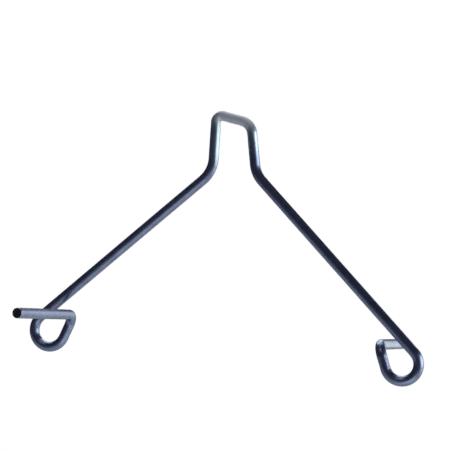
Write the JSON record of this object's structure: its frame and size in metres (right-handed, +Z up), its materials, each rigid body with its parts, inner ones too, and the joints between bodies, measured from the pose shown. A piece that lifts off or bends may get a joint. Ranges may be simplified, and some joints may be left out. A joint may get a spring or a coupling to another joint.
{
  "type": "frame grip",
  "caption": "One-piece bent steel wire grip for lifting a beehive frame: a narrow flat-topped hoop, two spread arms, an eye at the foot of each and two straight pegs that point opposite ways.",
  "frame": {"origin": "midway between the shoulders, in the plane of the arms, level with the tops of the pegs, where the underside of the lifted bar rests", "axes": "+X to the right along the spread of the arms, +Y to the back and the way the right peg points, +Z up towards the hoop"},
  "size_m": [0.162, 0.102, 0.1011],
  "materials": {
    "steel_wire": "satin, blue-grey drawn wire"
  },
  "bodies": {
    "root": {"hoop_top_bar": "steel_wire", "hoop_corner_left": "steel_wire", "hoop_corner_right": "steel_wire", "hoop_side_left": "steel_wire", "hoop_side_right": "steel_wire", "shoulder_left": "steel_wire", "shoulder_right": "steel_wire", "arm_left": "steel_wire", "arm_right": "steel_wire", "eye_left": "steel_wire", "eye_right": "steel_wire", "eye_close_left": "steel_wire", "eye_close_right": "steel_wire", "peg_bend_left": "steel_wire", "peg_bend_right": "steel_wire", "peg_left": "steel_wire", "peg_right": "steel_wire"}
  },
  "joints": []
}
